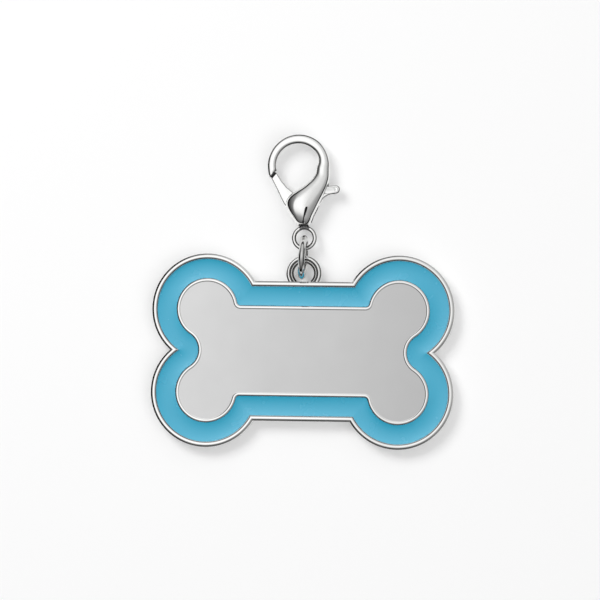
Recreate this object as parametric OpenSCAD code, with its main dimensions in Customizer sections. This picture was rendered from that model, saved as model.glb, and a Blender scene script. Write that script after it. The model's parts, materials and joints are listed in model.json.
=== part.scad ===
// Bone-shaped pet tag on a jump ring and a small lobster clasp.
// The tag lies on its back: +X is right and +Y is up on its face, +Z comes out of the face.
// The origin is the middle of the bone's flat back. Lengths are in millimetres.

/* [Tag outline] */
// Distance along X from the middle of the tag to the centre of a lobe
lobe_x = 14.6; // [11:0.1:18]
// Radius of a lobe, over the rim
lobe_r = 8.4; // [7.2:0.1:9.4]
// Depth of the notch between the two lobes of an end
end_notch = 2.85; // [2.4:0.05:3.2]
// Depth of the waist between the ends, below the tops of the lobes
waist = 4.1; // [3.4:0.1:4.8]
// Width of the raised rim
rim_w = 0.85; // [0.5:0.05:1.1]
// Width of the enamel channel between the rim and the plateau
channel_w = 2.85; // [1.8:0.05:3.4]

/* [Tag thickness] */
// Thickness of the tag over the rim
tag_t = 2.6; // [2.3:0.05:3]
// Thickness of the plate under the enamel
floor_t = 1.3; // [0.8:0.05:1.6]
// Depth of the enamel's surface below the top of the rim
enamel_drop = 0.4; // [0.2:0.05:0.8]
// Depth of the plateau's face below the top of the rim
plateau_drop = 0.15; // [0:0.05:0.4]
// Radius of the plateau's corners where the lobes meet the shaft
plateau_corner_r = 0.5; // [0.2:0.05:0.8]
// Bevel round the edge of the back
back_bevel = 0.2; // [0.1:0.05:0.3]

/* [Eyelet] */
// Radius of the eyelet's hole
eyelet_hole_r = 1.55; // [1.2:0.05:2]
// Thickness of the eyelet's round wire
eyelet_wire = 1.15; // [0.8:0.05:1.4]
// Distance from the shaft's edge to the eyelet's centre
eyelet_rise = 1.28; // [1.05:0.01:1.6]
// Height of the eyelet's middle plane above the back
eyelet_z = 1.65; // [1.5:0.05:1.8]

/* [Jump ring] */
// Mean radius of the jump ring
ring_r = 2.9; // [2.7:0.05:3.6]
// Thickness of the jump ring's wire
ring_wire = 0.95; // [0.7:0.05:1.05]
// Width of the butt seam where the wire's ends meet
ring_seam = 0.1; // [0.05:0.01:0.2]
// Lean of the ring to the right, in degrees
ring_lean = 3; // [0:1:5]

/* [Clasp body] */
// Distance from the centre of the eye to the centre of the hook's bend
clasp_l = 11; // [9.5:0.1:13]
// Distance of the bend's centre to the left of the eye's
bend_shift = 1; // [0.6:0.1:1.3]
// Outer radius of the hook's bend
bend_r = 4.75; // [4.1:0.05:5.6]
// Width of the hook's bar on the bend
hook_w = 1.35; // [1.1:0.05:1.6]
// Thickness of the hook's bar
hook_t = 1.7; // [1.4:0.05:2]
// Width of the body where it is widest
belly_w = 4.8; // [4.2:0.1:5.6]
// Thickness of the body where it is thickest
belly_t = 3.9; // [3.4:0.05:4.2]
// Radius of the hole in the clasp's eye
eye_hole_r = 1.27; // [1.1:0.01:1.5]
// Thickness of the eye's round wire
eye_wire = 0.64; // [0.5:0.02:0.7]
// Room between the eye's centre and the middle of the jump ring's wire
eye_slack = 0.5; // [0.35:0.05:0.6]

/* [Lever and pin] */
// Thickness of the lever's blade
blade_t = 1.1; // [0.8:0.05:1.3]
// Clearance between the blade and each cheek of the slot
blade_gap = 0.1; // [0.06:0.01:0.2]
// Thickness of the gate outside the body
gate_t = 1.5; // [1.2:0.05:1.8]
// Width of the gate at its tip
gate_tip_w = 1.25; // [1:0.05:1.5]
// Gap between the tip of the hook and the tip of the gate
gate_gap = 0.32; // [0.2:0.02:0.45]
// Radius of the pin
pin_r = 0.4; // [0.3:0.02:0.5]
// Radial clearance of the lever's bore round the pin
pin_clearance = 0.05; // [0.02:0.01:0.08]
// Radius of the round end of the thumb tab
tab_r = 0.72; // [0.55:0.01:0.85]
// Depth of the thumb dish in each face of the tab
dish_d = 0.15; // [0.05:0.01:0.25]
// Width of the raised border round the thumb dish
dish_border = 0.25; // [0.15:0.01:0.3]

/* [Lever spring] */
// Mean radius of the spring's coils
coil_r = 0.3; // [0.24:0.01:0.32]
// Thickness of the spring's wire
coil_wire = 0.16; // [0.1:0.01:0.2]
// Number of turns in the spring
coil_turns = 5; // [4:1:7]

/* [Hidden] */

$fn = 96;
// Overrun of cuts past the faces they go through
over = 0.5 * rim_w;

// Distance along Y from the middle of the tag to the centre of a lobe and to the shaft's edge
lobe_y = sqrt(end_notch * (2 * lobe_r - end_notch));
shaft_y = lobe_y + lobe_r - waist;
// Heights of the tag's surfaces above the back
enamel_z = tag_t - enamel_drop;
plateau_z = tag_t - plateau_drop;
// Round of the rim's two top edges, as a share of its width, and the flats that it is cut in
rim_round_share = 0.42;
rim_round = rim_round_share * rim_w;
rim_round_steps = 3;
quarter_round = [for (i = [0 : rim_round_steps]) let (a = 90 * i / rim_round_steps) [cos(a), sin(a)]];
// How far the channel and the plateau lie inside the outline
channel_in = rim_w;
plateau_in = rim_w + channel_w;
plateau_r = lobe_r - plateau_in;
plateau_shaft_y = shaft_y - plateau_in;
// Middle of the channel's notch, where the walls of two lobes meet
channel_r = lobe_r - channel_in;
channel_notch_x = sqrt(channel_r * channel_r - lobe_y * lobe_y);
// Round notch of the plateau's end, an arc that is tangent to both of its lobes
notch_depth = channel_notch_x - channel_w;
notch_r = (notch_depth * notch_depth + lobe_y * lobe_y - plateau_r * plateau_r)
    / (2 * (plateau_r - notch_depth));
notch_x = lobe_x + notch_depth + notch_r;
// Where the lobes' edge runs over into that arc
notch_share = plateau_r / (plateau_r + notch_r);
notch_touch_x = lobe_x + notch_share * (notch_x - lobe_x);
notch_touch_y = lobe_y * (1 - notch_share);
// Round in the plateau's inner corner, tangent to the lobe and to the shaft
corner_y = plateau_shaft_y + plateau_corner_r;
corner_reach = plateau_r + plateau_corner_r;
corner_x = lobe_x - sqrt(corner_reach * corner_reach - pow(corner_y - lobe_y, 2));
corner_touch_x = lobe_x - plateau_r / corner_reach * (lobe_x - corner_x);
corner_touch_y = lobe_y + plateau_r / corner_reach * (corner_y - lobe_y);

// Eyelet, which stands out of the shaft's upper edge
eyelet_y = shaft_y + eyelet_rise;
eyelet_r = eyelet_hole_r + eyelet_wire / 2;

// The jump ring stands on edge and crosses the middle of the eyelet's hole
ring_z = ring_r + ring_wire / 2;
ring_y = eyelet_y + sqrt(ring_r * ring_r - pow(ring_z - eyelet_z, 2));
seam_a = ring_seam / ring_r * 180 / PI;
// Place of the seam, in degrees round the ring from its lowest point towards the clasp
seam_place = 40;

// The clasp lies on its belly, with its eye round the far side of the ring
clasp_z = belly_t / 2;
ring_cross_y = ring_y + sqrt(ring_r * ring_r - pow(ring_z - clasp_z, 2));
eye_y = ring_cross_y + eye_slack;
eye_r = eye_hole_r + eye_wire / 2;
// A short round neck joins the eye to the flat foot of the body, just clear of the eye's wire
neck_gap = 0.03;
neck_y = eye_r + eye_wire / 2 + neck_gap;
neck_share = 0.85;
neck_r = neck_share * eye_wire;
body_l = clasp_l - neck_y;

// Bar of the hook round its bend. Each row has the angle, and the width and thickness as shares of
// hook_w and hook_t.
tip_a = 190;
bend_shares = [
    [-5, 1.45, 1.25], [8, 1.28, 1.15], [22, 1.14, 1.08], [38, 1.06, 1.03], [55, 1.02, 1], [73, 1, 1],
    [91, 0.99, 1], [109, 0.97, 1], [127, 0.95, 0.99], [145, 0.93, 0.97], [162, 0.91, 0.95],
    [177, 0.9, 0.92], [tip_a, 0.89, 0.9]
];
// Middle line of the clasp from the neck to the root of the hook. Each row has the place across as a
// share of root_x, the place along as a share of body_l, the width as a share of belly_w, the
// thickness as a share of belly_t, and the slope of the cross-section in degrees.
root_w = bend_shares[0][1] * hook_w;
root_x = bend_r - bend_shift - root_w / 2;
body_shares = [
    [-0.1, 0, 0.36, 0.46, -9],
    [-0.15, 0.034, 0.52, 0.67, -14],
    [-0.21, 0.097, 0.69, 0.83, -17],
    [-0.26, 0.168, 0.845, 0.94, -19],
    [-0.26, 0.247, 0.95, 0.985, -20],
    [-0.18, 0.327, 1, 0.998, -20],
    [-0.03, 0.407, 0.97, 0.98, -22],
    [0.18, 0.486, 0.875, 0.93, -23],
    [0.42, 0.564, 0.75, 0.86, -25],
    [0.62, 0.642, 0.655, 0.78, -24],
    [0.8, 0.725, 0.57, 0.7, -20],
    [0.95, 0.838, 0.48, 0.6, -14]
];
// Slope of the joint face between hook and gate
joint_a = 229;
// Tip of the hook: its distance from the last section of the bend and its width, as shares of hook_w,
// its thickness as a share of hook_t, and how far that last stretch turns in from the bend, in degrees
tip_share = 0.44;
tip_w_share = 0.86;
tip_t_share = 0.85;
tip_in = 6;
section_sides = 16;
section_steps = 2;
// Power of the clasp's cross-section, between an ellipse and a rounded box
section_power = 2.4;

// Slot between the cheeks, from just above the neck to just below the root of the hook
slot_t = blade_t + 2 * blade_gap;
slot_low_share = 0.045;
slot_high_share = 0.702;
slot_low_y = neck_y + slot_low_share * body_l;
slot_high_y = neck_y + slot_high_share * body_l;

// Pin, from the back of the body to a blind end in the front cheek: its place across as a share of
// root_x and along as a share of body_l, and its ends' distances from the middle as shares of belly_t
pin_shares = [-0.03, 0.294];
pin_end_shares = [0.47, 0.41];
pin_x = pin_shares[0] * root_x;
pin_y = neck_y + pin_shares[1] * body_l;
pin_low = -pin_end_shares[0] * belly_t;
pin_high = pin_end_shares[1] * belly_t;

// Middle of the hook's tip, a short way on from the last section of the bend
tip_bend_r = bend_r - bend_shares[len(bend_shares) - 1][1] * hook_w / 2;
tip_turn = tip_a + 90 - tip_in;
tip_mid = [-bend_shift, clasp_l] + tip_bend_r * [cos(tip_a), sin(tip_a)]
    + tip_share * hook_w * [cos(tip_turn), sin(tip_turn)];
// Middle of the gate's tip. The gate runs from the pin to it, and the corners of its edges are placed
// along and across that line: shares of its length, and of the gate's width at the tip
pin_at = [pin_x, pin_y];
gate_tip = tip_mid + gate_gap * [-sin(joint_a), cos(joint_a)];
gate_run = gate_tip - pin_at;
gate_across = gate_tip_w * [-gate_run[1], gate_run[0]] / norm(gate_run);
// Slope of the gate's cross-sections, in the turn that runs on to joint_a
gate_a = 360 + atan2(gate_across[1], gate_across[0]);
gate_tip_half = gate_tip_w / 2 * [cos(joint_a), sin(joint_a)];
gate_outer_shares = [[0.683, 0.98], [0.52, 1.28], [0.366, 1.52], [0.16, 1.5], [-0.02, 1.02]];
gate_inner_shares = [[0.25, -0.68], [0.443, -0.31], [0.606, -0.21], [0.761, -0.26], [0.87, -0.38]];
// Rounded bar of the gate outside the body, up to its tip: place along, place across and width as the
// edges' are, and the thickness as a share of gate_t
gate_bar_shares = [
    [0.5, 0.55, 1.3, 0.7], [0.57, 0.5, 1.33, 0.86], [0.68, 0.38, 1.2, 1], [0.84, 0.2, 1.08, 0.98]
];
gate_tip_t_share = 0.92;
// Round end of the thumb tab, placed as shares of root_x and body_l, and the corners of the tab's
// edges along and across the line from the pin to it: shares of its length, and of tab_r
tab_shares = [1.68, 0.606];
tab_at = [tab_shares[0] * root_x, neck_y + tab_shares[1] * body_l];
tab_run = tab_at - pin_at;
tab_across = tab_r * [-tab_run[1], tab_run[0]] / norm(tab_run);
tab_lower_shares = [
    [0.463, -0.95], [0.536, -0.58], [0.633, -0.35], [0.745, -0.34], [0.84, -0.56], [0.96, -0.9]
];
tab_upper_shares = [[1, 1], [0.857, 1.45], [0.567, 1.61]];
// Slope of the tab's end, and the straight lengths of its thick end and of the dish as shares of tab_r
tab_a = 8;
tab_pad_share = 0.45;
dish_share = 1.1;
// Wall of the lever's boss round the pin's bore
boss_wall = 0.36;
boss_r = pin_r + pin_clearance + boss_wall;

// The spring stands on the low end of the slot and pushes up under the tab's root. Its seat is placed
// from the pin as shares of root_x and body_l, and its foot as a share of root_x.
seat_w = 1.0;
seat_shares = [0.55, 0.03];
foot_share = 0.11;
seat_at = pin_at + [seat_shares[0] * root_x, seat_shares[1] * body_l];
spring_foot = [foot_share * root_x, slot_low_y];
spring_u = (seat_at - spring_foot) / norm(seat_at - spring_foot);
spring_across = [spring_u[1], -spring_u[0]];
coil_out_r = coil_r + coil_wire / 2;
// Ends of the coil's middle line, the given rest away from the slot's floor and from the lever's seat
spring_rest = 0.02;
coil_low = (coil_out_r * spring_u[0] + spring_rest) / spring_u[1] + coil_wire / 2;
coil_high = norm(seat_at - spring_foot) - coil_wire / 2 - spring_rest;
coil_steps = 12;
coil_sides = 6;

// Functions

// A point that is placed by shares along and across a line from the pin
function from_pin(run, across, share) = pin_at + share[0] * run + share[1] * across;
function signed_power(v, p) = sign(v) * pow(abs(v), p);
// One cross-section: s has the middle's x and y, the width, the thickness and the slope
function section(s, sides) = [
    for (k = [0 : sides - 1])
        let (
            a = 360 * k / sides,
            across = s[2] / 2 * signed_power(cos(a), 2 / section_power),
            up = s[3] / 2 * signed_power(sin(a), 2 / section_power)
        )
        [s[0] + across * cos(s[4]), s[1] + across * sin(s[4]), up]
];
// A value on the smooth curve through b and c, with a before and d after them
function between(a, b, c, d, t) =
    b + 0.5 * t * (c - a + t * (2 * a - 5 * b + 4 * c - d + t * (3 * (b - c) + d - a)));
function smooth(rows, steps) = [
    for (i = [0 : len(rows) - 2], j = [0 : steps - 1])
        between(rows[max(i - 1, 0)], rows[i], rows[i + 1], rows[min(i + 2, len(rows) - 1)], j / steps),
    rows[len(rows) - 1]
];

function reversed(rows) = [for (i = [len(rows) - 1 : -1 : 0]) rows[i]];

// Shared shapes

// Skins a row of cross-sections into one closed solid. Seen along the row, +Z is up and the
// sections' slopes point to the left.
module loft(rows, sides) {
    last = len(rows) - 1;
    points = [for (s = rows) each section(s, sides)];
    low_end = [for (k = [1 : sides - 2]) [0, k, k + 1]];
    high_end = [for (k = [1 : sides - 2]) [last * sides, last * sides + k + 1, last * sides + k]];
    walls = [
        for (i = [0 : last - 1], k = [0 : sides - 1])
            let (
                a = i * sides + k,
                b = i * sides + (k + 1) % sides,
                c = a + sides,
                d = b + sides
            )
            each [[a, c, d], [a, d, b]]
    ];
    polyhedron(points, concat(low_end, high_end, walls));
}

module mirrored_x() {
    children();
    mirror([1, 0, 0]) children();
}

module mirrored_y() {
    children();
    mirror([0, 1, 0]) children();
}

module mirrored_z() {
    children();
    mirror([0, 0, 1]) children();
}

// Outline of the bone, the given distance inside the tag's own edge
module bone(inset) {
    for (x = [-lobe_x, lobe_x], y = [-lobe_y, lobe_y])
        translate([x, y]) circle(lobe_r - inset);
    square([2 * lobe_x, 2 * (shaft_y - inset)], center = true);
}

// Outline of the plateau: a bone with rounded inner corners and rounded notches
module plateau_outline() {
    bone(plateau_in);
    mirrored_x() {
        mirrored_y() difference() {
            corner_block();
            translate([corner_x, corner_y]) circle(plateau_corner_r);
        }
        difference() {
            notch_block();
            translate([notch_x, 0]) circle(notch_r);
        }
    }
}

// What fills the inner corner between a lobe and the shaft, before its round is cut out
module corner_block() {
    translate([corner_x, plateau_shaft_y - plateau_corner_r])
        square([corner_touch_x - corner_x, corner_touch_y - plateau_shaft_y + plateau_corner_r]);
}

// What fills the end between two lobes, before its round notch is cut out
module notch_block() {
    translate([0, -notch_touch_y]) square([notch_touch_x, 2 * notch_touch_y]);
}

// Solid bone whose edge follows rows of the distance inside the tag's own edge and the height
module bone_body(rows) {
    lobe_edge = [for (p = rows) [lobe_r - p[0], p[1]]];
    shaft_edge = [for (p = rows) [shaft_y - p[0], p[1]]];
    far_edge = [for (p = reversed(shaft_edge)) [-p[0], p[1]]];
    ends = [[0, rows[len(rows) - 1][1]], [0, rows[0][1]]];
    for (x = [-lobe_x, lobe_x], y = [-lobe_y, lobe_y])
        translate([x, y]) rotate_extrude() polygon(concat(lobe_edge, ends));
    translate([-lobe_x, 0]) rotate([90, 0, 90]) linear_extrude(2 * lobe_x)
        polygon(concat(shaft_edge, far_edge));
}

// Sub-parts

module tag_plate() color("silver") {
    outer_round = [for (q = quarter_round) [rim_round * (1 - q[0]), tag_t - rim_round * (1 - q[1])]];
    inner_round = [for (p = outer_round) [channel_in - p[0], p[1]]];
    top = [channel_in - rim_round, tag_t + over];
    difference() {
        bone_body(concat([[back_bevel, 0], [0, back_bevel]], outer_round));
        bone_body(concat([[channel_in, floor_t]], inner_round, [top]));
    }
    linear_extrude(plateau_z) plateau_outline();
    // Eyelet, cast into the rim
    difference() {
        translate([0, eyelet_y, eyelet_z])
            rotate_extrude() translate([eyelet_r, 0]) circle(eyelet_wire / 2);
        translate([-2 * eyelet_r, -shaft_y, -over])
            cube([4 * eyelet_r, 2 * shaft_y - rim_w / 2, tag_t + 2 * over]);
    }
}

module enamel_fill() color("deepskyblue") {
    translate([0, 0, floor_t]) linear_extrude(enamel_z - floor_t) difference() {
        bone(channel_in);
        plateau_outline();
    }
}

module jump_ring() color("gainsboro") {
    translate([0, ring_y, ring_z]) rotate([0, 0, -ring_lean]) rotate([0, 90, 0])
        rotate_extrude(start = seam_place + seam_a / 2, angle = 360 - seam_a)
            translate([ring_r, 0]) circle(ring_wire / 2);
}

// Everything on the clasp is placed from the centre of its eye
module on_clasp() {
    translate([0, eye_y, clasp_z]) children();
}

module clasp_body() color("gainsboro") on_clasp() {
    rows = concat(
        [for (s = body_shares) [
            s[0] * root_x, neck_y + s[1] * body_l, s[2] * belly_w, s[3] * belly_t, s[4]
        ]],
        [for (s = bend_shares)
            let (w = s[1] * hook_w, r = bend_r - w / 2)
            [-bend_shift + r * cos(s[0]), clasp_l + r * sin(s[0]), w, s[2] * hook_t, s[0]]],
        [[tip_mid[0], tip_mid[1], tip_w_share * hook_w, tip_t_share * hook_t, joint_a]]
    );
    difference() {
        loft(smooth(reversed(rows), section_steps), section_sides);
        translate([-bend_r - bend_shift, slot_low_y, -slot_t / 2])
            cube([2 * bend_r, slot_high_y - slot_low_y, slot_t]);
        translate([pin_x, pin_y, -belly_t]) cylinder(r = pin_r, h = belly_t + pin_high);
    }
    rotate_extrude() translate([eye_r, 0]) circle(eye_wire / 2);
    translate([0, eye_r, 0]) rotate([-90, 0, 0])
        cylinder(r = neck_r, h = slot_low_y - eye_r - neck_gap);
}

// Outline of the lever's blade: gate, root, spring seat and tab
module blade_outline() {
    polygon(concat(
        [gate_tip + gate_tip_half],
        [for (p = gate_outer_shares) from_pin(gate_run, gate_across, p)],
        [pin_at, seat_at - seat_w / 2 * spring_across, seat_at + seat_w / 2 * spring_across],
        [for (p = tab_lower_shares) from_pin(tab_run, tab_across, p)],
        [tab_at],
        [for (p = tab_upper_shares) from_pin(tab_run, tab_across, p)],
        [for (p = gate_inner_shares) from_pin(gate_run, gate_across, p)],
        [gate_tip - gate_tip_half]
    ));
    translate(pin_at) circle(boss_r);
    translate(tab_at) circle(tab_r);
}

// A bar with one round end at the tab's end, running back towards the body
module tab_bar(r, share) {
    translate(tab_at) rotate(tab_a) {
        circle(r);
        translate([-share * tab_r, 0]) circle(r);
        translate([-share * tab_r, -r]) square([share * tab_r, 2 * r]);
    }
}

module clasp_lever() color("whitesmoke") on_clasp() {
    rows = concat(
        [for (g = gate_bar_shares)
            let (p = from_pin(gate_run, gate_across, g))
            [p[0], p[1], g[2] * gate_tip_w, g[3] * gate_t, gate_a]],
        [[gate_tip[0], gate_tip[1], gate_tip_w, gate_tip_t_share * gate_t, joint_a]]
    );
    difference() {
        union() {
            translate([0, 0, -blade_t / 2]) linear_extrude(blade_t) blade_outline();
            translate([0, 0, -gate_t / 2]) linear_extrude(gate_t) tab_bar(tab_r, tab_pad_share);
            loft(smooth(rows, section_steps), section_sides);
        }
        translate([pin_x, pin_y, -belly_t / 2]) cylinder(r = pin_r + pin_clearance, h = belly_t);
        mirrored_z() translate([0, 0, gate_t / 2 - dish_d]) linear_extrude(dish_d + over)
            tab_bar(tab_r - dish_border, dish_share);
    }
}

module lever_pin() color("silver") on_clasp() {
    translate([pin_x, pin_y, pin_low]) cylinder(r = pin_r, h = pin_high - pin_low);
}

// Round wire that winds up along the line from the spring's foot to its seat
module lever_spring() color("silver") on_clasp() {
    turns = coil_turns * coil_steps;
    points = [
        for (i = [0 : turns], k = [0 : coil_sides - 1])
            let (
                a = 360 * i / coil_steps,
                b = 360 * k / coil_sides,
                r = coil_r + coil_wire / 2 * cos(b),
                rise = coil_low + (coil_high - coil_low) * i / turns + coil_wire / 2 * sin(b),
                flat = spring_foot + rise * spring_u + r * cos(a) * spring_across
            )
            [flat[0], flat[1], r * sin(a)]
    ];
    low_end = [for (k = [1 : coil_sides - 2]) [0, k, k + 1]];
    top = turns * coil_sides;
    high_end = [for (k = [1 : coil_sides - 2]) [top, top + k + 1, top + k]];
    walls = [
        for (i = [0 : turns - 1], k = [0 : coil_sides - 1])
            let (a = i * coil_sides + k, b = i * coil_sides + (k + 1) % coil_sides)
            each [[a, a + coil_sides, b + coil_sides], [a, b + coil_sides, b]]
    ];
    polyhedron(points, concat(low_end, high_end, walls));
}

tag_plate();
enamel_fill();
jump_ring();
clasp_body();
clasp_lever();
lever_pin();
lever_spring();
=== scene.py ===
"""Looks of a bone-shaped pet tag on a jump ring and a lobster clasp.

Shapes are worked out in millimetres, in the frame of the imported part, and stored in metres.
"""

import json
import math

import bmesh
import bpy
from mathutils import Matrix, Vector


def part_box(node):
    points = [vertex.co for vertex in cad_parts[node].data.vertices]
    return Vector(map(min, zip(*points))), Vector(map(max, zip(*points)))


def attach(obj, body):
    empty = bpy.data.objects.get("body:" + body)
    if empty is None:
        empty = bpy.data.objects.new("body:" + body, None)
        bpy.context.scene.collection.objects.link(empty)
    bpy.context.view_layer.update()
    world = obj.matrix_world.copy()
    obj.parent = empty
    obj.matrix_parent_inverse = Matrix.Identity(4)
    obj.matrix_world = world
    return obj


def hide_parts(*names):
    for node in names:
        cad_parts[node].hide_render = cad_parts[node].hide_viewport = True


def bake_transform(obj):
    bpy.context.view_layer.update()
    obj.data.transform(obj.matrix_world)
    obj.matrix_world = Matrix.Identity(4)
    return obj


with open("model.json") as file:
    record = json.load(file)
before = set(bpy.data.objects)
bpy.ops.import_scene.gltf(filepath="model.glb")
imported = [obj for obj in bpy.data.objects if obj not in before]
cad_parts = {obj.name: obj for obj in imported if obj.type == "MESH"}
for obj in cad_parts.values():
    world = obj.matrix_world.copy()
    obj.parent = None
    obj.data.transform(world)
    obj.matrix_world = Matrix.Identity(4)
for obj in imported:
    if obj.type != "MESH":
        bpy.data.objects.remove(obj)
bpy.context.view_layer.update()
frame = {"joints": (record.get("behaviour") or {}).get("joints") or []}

MM = 0.001
JOINTS = {joint["name"]: joint for joint in frame["joints"]}

# Sizes of the tag
LOBE_X = 14.6
LOBE_R = 8.4
END_NOTCH = 2.85
WAIST = 4.1
RIM_W = 0.85
CHANNEL_W = 2.85
TAG_T = 2.6
FLOOR_T = 1.3
ENAMEL_Z = 2.2
PLATEAU_Z = 2.45
LOBE_Y = math.sqrt(END_NOTCH * (2 * LOBE_R - END_NOTCH))
SHAFT_Y = LOBE_Y + LOBE_R - WAIST
PLATEAU_IN = RIM_W + CHANNEL_W

# Sizes of the eyelet, the jump ring and the clasp
EYELET_R = 2.125
EYELET_WIRE = 1.15
RING_R = 2.9
RING_WIRE = 0.95
RING_SEAM = 0.1
RING_LEAN = 3
CLASP_L = 11
BEND_SHIFT = 1
BEND_R = 4.75
HOOK_W = 1.35
HOOK_T = 1.7
BELLY_W = 4.8
BELLY_T = 3.9
EYE_R = 1.59
EYE_WIRE = 0.64
EYE_SLACK = 0.5
NECK_GAP = 0.03
SLOT_T = 1.3
GATE_TIP_W = 1.25
GATE_GAP = 0.32
PIN_R = 0.4
TAB_R = 0.72
COIL_R = 0.3
COIL_WIRE = 0.16
COIL_TURNS = 5

# Segments of the round stretches
SHAFT_STEPS = 12
CORNER_STEPS = 6
LOBE_STEPS = 64
NOTCH_STEPS = 14
BACK_STEPS = 4
ENAMEL_STEPS = 24
EYELET_STEPS = 160
RING_STEPS = 120
EYE_STEPS = 80
LOFT_STEPS = 8
ROD_STEPS = 48
CREASE_STEPS = 12
TAB_STEPS = 24
BOSS_STEPS = 64
COIL_STEPS = 36
WIRE_STEPS = 16

# Edges sharper than this stay sharp in the shading, in degrees, where a piece names no other angle
SHARP = 35


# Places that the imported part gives


def joint_place(name):
    """A point on a joint's axis."""
    return Vector(JOINTS[name]["pos_m"]) / MM


def box_middle(node):
    """The middle of a CAD node's box."""
    low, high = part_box(node)
    return (Vector(low) + Vector(high)) / 2 / MM


EYELET_AT = joint_place("ring_swing") - Vector((0, EYELET_R, 0))
RING_AT = box_middle("jump_ring")
EYE_AT = Vector((0, joint_place("clasp_swing").y + EYE_SLACK, joint_place("clasp_swing").z))
PIN_AT = joint_place("gate_open")


# Meshes


def new_piece(name, points, faces):
    """An object from points in millimetres."""
    mesh = bpy.data.meshes.new(name)
    mesh.from_pydata([Vector(p) * MM for p in points], [], faces)
    mesh.update()
    piece = bpy.data.objects.new(name, mesh)
    bpy.context.scene.collection.objects.link(piece)
    return piece


def baked(piece):
    """Applies the modifiers of a piece to its mesh."""
    bpy.context.view_layer.update()
    solved = piece.evaluated_get(bpy.context.evaluated_depsgraph_get())
    mesh = bpy.data.meshes.new_from_object(solved)
    piece.modifiers.clear()
    piece.data = mesh
    return piece


def combined(piece, tool, operation):
    """Joins the tool to the piece, or cuts it out, and removes it."""
    change = piece.modifiers.new("change", "BOOLEAN")
    change.operation = operation
    change.solver = "EXACT"
    change.object = tool
    baked(piece)
    bpy.data.objects.remove(tool)
    return piece


# Rounding of the ends of a rod or a wire
END_ROUND = 0.06
END_STEPS = 3
END_SHARP = 60


def rounded(piece):
    """Rounds the sharp edges at the ends of a piece."""
    edge = piece.modifiers.new("edge", "BEVEL")
    edge.width = END_ROUND * MM
    edge.segments = END_STEPS
    edge.limit_method = "ANGLE"
    edge.angle_limit = math.radians(END_SHARP)
    return baked(piece)


def shaded(piece, sharp=SHARP):
    """Turns the faces outwards and shades them smooth, up to edges sharper than the angle."""
    work = bmesh.new()
    work.from_mesh(piece.data)
    bmesh.ops.recalc_face_normals(work, faces=work.faces)
    work.to_mesh(piece.data)
    work.free()
    piece.data.shade_smooth()
    piece.data.set_sharp_from_angle(angle=math.radians(sharp))
    return piece


def skin(rings, closed=False):
    """Points and faces of a skin over rings of points, with two flat caps or closed on itself."""
    count = len(rings[0])
    total = len(rings)
    points = [p for ring in rings for p in ring]
    faces = []
    for i in range(total if closed else total - 1):
        low = i * count
        high = (i + 1) % total * count
        for k in range(count):
            after = (k + 1) % count
            faces.append((low + k, low + after, high + after, high + k))
    if not closed:
        faces.append(tuple(range(count - 1, -1, -1)))
        faces.append(tuple(range(len(points) - count, len(points))))
    return points, faces


# A quarter of a wire's section, with a flat top and a bevelled edge, as shares of its half sizes
BEVEL_QUARTER = [
    (1, 0), (1, 0.3), (1, 0.55), (0.998, 0.64), (0.99, 0.7), (0.975, 0.735), (0.92, 0.773),
    (0.86, 0.813), (0.8, 0.852), (0.74, 0.89), (0.68, 0.925), (0.61, 0.958), (0.48, 0.988),
    (0.25, 0.999),
]
# The same for the eye and the jump ring, which are rounder
ROUND_QUARTER = [
    (1, 0), (1, 0.15), (0.998, 0.35), (0.985, 0.46), (0.95, 0.52), (0.88, 0.58), (0.8, 0.645),
    (0.72, 0.71), (0.64, 0.775), (0.57, 0.83), (0.5, 0.88), (0.42, 0.925), (0.32, 0.96),
    (0.18, 0.99),
]
OVAL_POWER = 2.3


def around(quarter):
    """Points all round a section, from those of its first quarter."""
    half = quarter + [(0, 1)] + [(-x, z) for x, z in reversed(quarter[1:])]
    return half + [(-x, -z) for x, z in half]


def oval_quarter():
    """The first quarter of a full oval, with as many points as the bevelled one."""
    turns = [math.pi / 2 * k / len(BEVEL_QUARTER) for k in range(len(BEVEL_QUARTER))]
    return [(math.cos(a) ** (2 / OVAL_POWER), math.sin(a) ** (2 / OVAL_POWER)) for a in turns]


OVAL = around(oval_quarter())
BEVELLED = around(BEVEL_QUARTER)
ROUND = around(ROUND_QUARTER)


def compass(degrees):
    """Unit vector at an angle."""
    return Vector((math.cos(math.radians(degrees)), math.sin(math.radians(degrees))))


def torus_rings(radius, profile, start, end, steps):
    """Rings of a wire bent round the Z axis between two angles, from its profile out and up."""
    rings = []
    for i in range(steps + 1):
        turn = math.radians(start + (end - start) * i / steps)
        out = Vector((math.cos(turn), math.sin(turn), 0))
        rings.append([out * (radius + u) + Vector((0, 0, v)) for u, v in profile])
    return rings


def moved(rings, matrix):
    return [[matrix @ p for p in ring] for ring in rings]


# Outline of the bone


def arc(centre, radius, start, end, steps):
    """Points on an arc between two angles in degrees, without its last point."""
    turns = [math.radians(start + (end - start) * i / steps) for i in range(steps)]
    return [(centre.x + radius * math.cos(a), centre.y + radius * math.sin(a)) for a in turns]


def direction(vector):
    """Angle of a vector, in degrees."""
    return math.degrees(math.atan2(vector.y, vector.x))


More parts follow.
